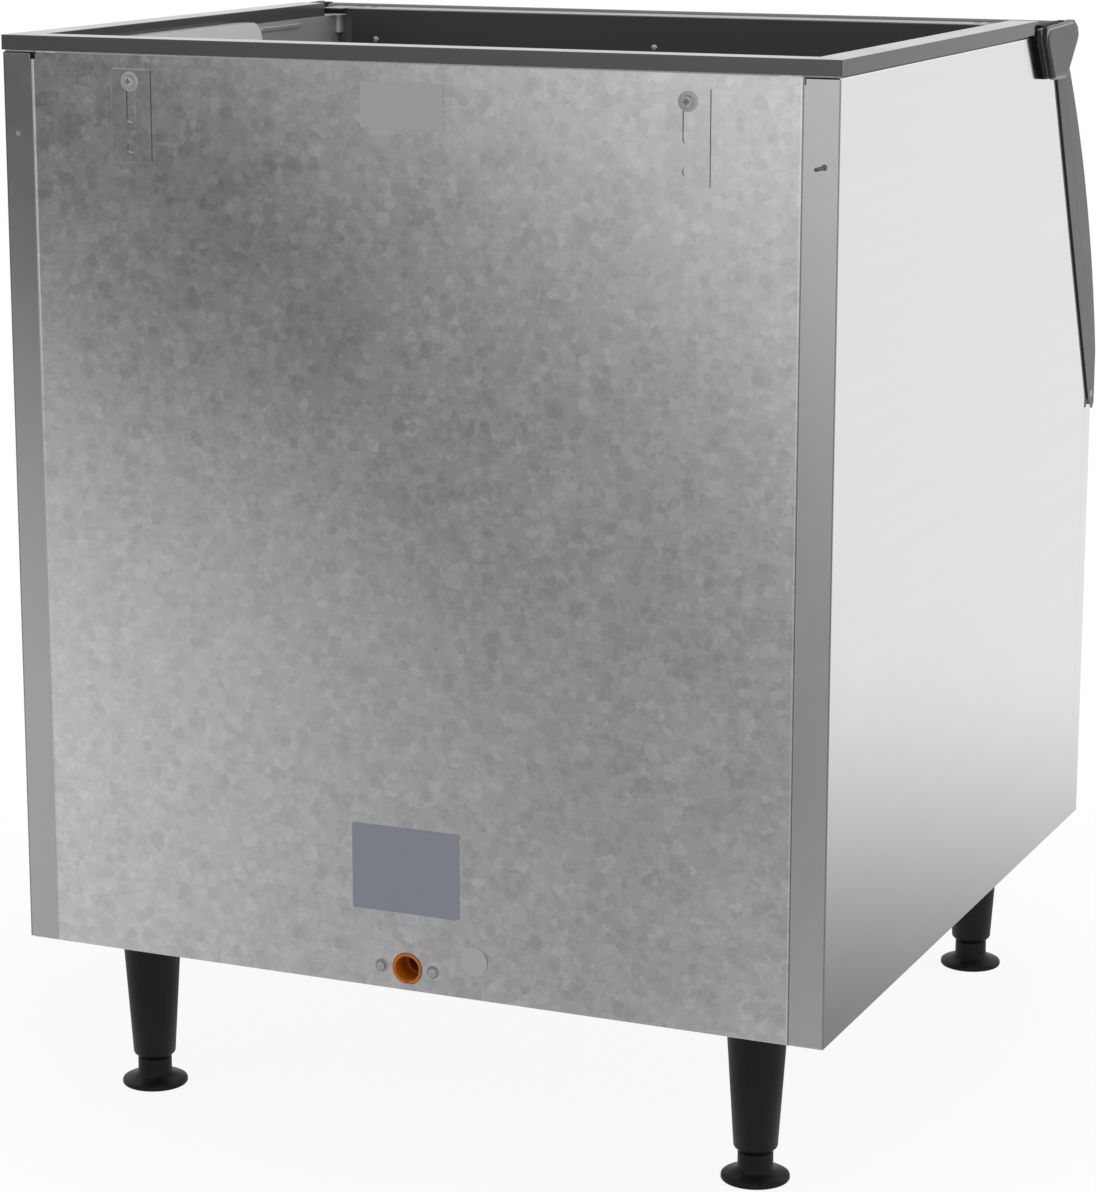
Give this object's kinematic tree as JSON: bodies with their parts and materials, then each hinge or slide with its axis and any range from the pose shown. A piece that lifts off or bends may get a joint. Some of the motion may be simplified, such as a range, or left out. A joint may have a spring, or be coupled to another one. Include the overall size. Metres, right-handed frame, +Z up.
{
  "type": "ice storage bin",
  "caption": "Insulated ice storage bin on tapered legs, with a slanted front, a convex lift-up door, an open top with a rim for an ice machine, and a rear drain.",
  "frame": {"origin": "on the floor, under the middle of the whole bin", "axes": "+Z up, +Y to the bin's back, +X to its right seen from the front"},
  "size_m": [0.794, 0.8246, 0.9652],
  "materials": {
    "stainless": "brushed stainless steel",
    "galvanised": "galvanised steel with spangle",
    "liner_plastic": "smooth pale grey",
    "foam": "raw poured foam",
    "rim_plastic": "fine satin grain",
    "dark_plastic": "fine satin grain",
    "cap_plastic": "fine satin grain",
    "door_plastic": "fine satin grain",
    "gasket_rubber": "soft black rubber",
    "bright_steel": "bright plated steel",
    "bracket_steel": "plated steel",
    "ear_steel": "dark painted steel",
    "bush_plastic": "natural nylon",
    "plate_light": "smooth, bare",
    "plate_grey": "smooth, bare",
    "drain_plastic": "orange-brown moulded plastic",
    "strainer_plastic": "moulded plastic",
    "plug_plastic": "moulded plastic",
    "leg_metal": "cast, painted black",
    "socket_steel": "plated steel",
    "foot_metal": "cast, painted black",
    "stud_steel": "plated thread"
  },
  "bodies": {
    "cabinet": {"side_panel_left": "stainless", "side_panel_right": "stainless", "front_panel": "stainless", "header": "stainless", "rear_panel": "galvanised", "base_pan": "galvanised", "liner": "liner_plastic", "insulation": "foam", "header_insulation": "foam", "top_rim": "rim_plastic", "header_baffle": "dark_plastic", "door_frame": "dark_plastic", "hinge_cap_left": "cap_plastic", "hinge_cap_right": "cap_plastic", "door_bumpers": "gasket_rubber", "corner_seals": "gasket_rubber", "hinge_pads": "gasket_rubber", "baffle_screws": "bright_steel", "header_screws": "bright_steel", "hinge_bolts": "bright_steel", "hinge_nut_plates": "bright_steel", "hinge_pins": "bright_steel", "bracket_screws": "bright_steel", "bracket_washers": "bright_steel", "drain_bolts": "bright_steel", "drain_washers": "bright_steel", "locating_pin": "bright_steel", "header_corner_plates": "bright_steel", "hinge_bracket_left": "ear_steel", "hinge_bracket_right": "ear_steel", "blank_plate_upper": "plate_light", "blank_plate_lower": "plate_grey", "drain_fitting": "drain_plastic", "drain_strainer": "strainer_plastic", "hole_plug": "plug_plastic", "leg_front_left": "leg_metal", "leg_front_right": "leg_metal", "leg_rear_left": "leg_metal", "leg_rear_right": "leg_metal", "leg_sockets": "socket_steel", "leg_studs": "socket_steel"},
    "door": {"door_tray": "door_plastic", "door_skin": "door_plastic", "door_insulation": "foam", "door_gasket": "gasket_rubber", "hinge_bushes": "bush_plastic", "door_side_screws": "bright_steel"},
    "bracket_left": {"retaining_bracket_left": "bracket_steel"},
    "bracket_right": {"retaining_bracket_right": "bracket_steel"},
    "levelling_foot_front_left": {"foot_front_left": "foot_metal", "foot_stud_front_left": "stud_steel"},
    "levelling_foot_front_right": {"foot_front_right": "foot_metal", "foot_stud_front_right": "stud_steel"},
    "levelling_foot_rear_left": {"foot_rear_left": "foot_metal", "foot_stud_rear_left": "stud_steel"},
    "levelling_foot_rear_right": {"foot_rear_right": "foot_metal", "foot_stud_rear_right": "stud_steel"}
  },
  "joints": [
    {"name": "door_hinge", "type": "hinge", "parent": "cabinet", "child": "door", "pos_m": [0, -0.23086, 0.93724], "axis": [-1, 0, 0], "range_deg": [0, 138]},
    {"name": "bracket_left_slide", "type": "slide", "parent": "cabinet", "child": "bracket_left", "axis": [0, 0, 1], "range_m": [0, 0.011]},
    {"name": "bracket_right_slide", "type": "slide", "parent": "cabinet", "child": "bracket_right", "axis": [0, 0, 1], "range_m": [0, 0.011]},
    {"name": "foot_front_left_screw", "type": "slide", "parent": "cabinet", "child": "levelling_foot_front_left", "axis": [0, 0, -1], "range_m": [0, 0.025]},
    {"name": "foot_front_right_screw", "type": "slide", "parent": "cabinet", "child": "levelling_foot_front_right", "axis": [0, 0, -1], "range_m": [0, 0.025]},
    {"name": "foot_rear_left_screw", "type": "slide", "parent": "cabinet", "child": "levelling_foot_rear_left", "axis": [0, 0, -1], "range_m": [0, 0.025]},
    {"name": "foot_rear_right_screw", "type": "slide", "parent": "cabinet", "child": "levelling_foot_rear_right", "axis": [0, 0, -1], "range_m": [0, 0.025]}
  ]
}
